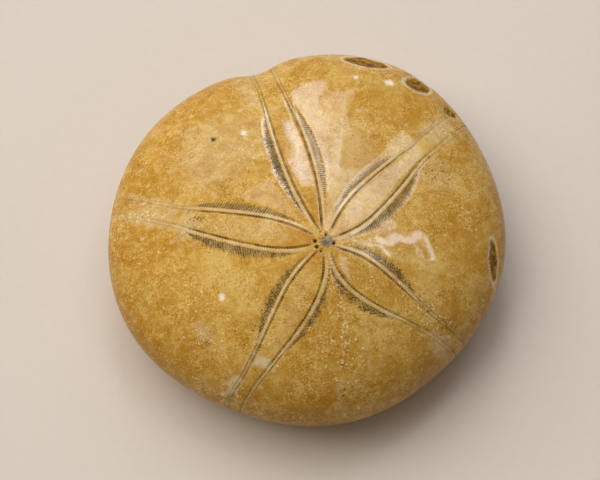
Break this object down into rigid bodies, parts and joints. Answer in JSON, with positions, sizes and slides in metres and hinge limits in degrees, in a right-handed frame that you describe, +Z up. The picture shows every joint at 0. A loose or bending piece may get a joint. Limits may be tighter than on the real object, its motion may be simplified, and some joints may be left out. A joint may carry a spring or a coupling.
{
  "type": "sand dollar",
  "caption": "Domed sand dollar, solid and polished, with a flower of pore-row petals over its top, a notched front rim and a hollow round the mouth beneath; lies flat on display.",
  "frame": {"origin": "middle of the sand dollar as seen from above, at the level of the flat face it rests on", "axes": "+Z up out of the domed side, +Y towards the front, where the rim has its notch and the narrow petal ends, +X to the right of that"},
  "size_m": [0.05, 0.048, 0.017],
  "materials": {
    "polished_calcite": "polished, honey to ochre, with pale speckles and grey-brown pore bands"
  },
  "bodies": {
    "root": {"sand_dollar": "polished_calcite"}
  },
  "joints": []
}
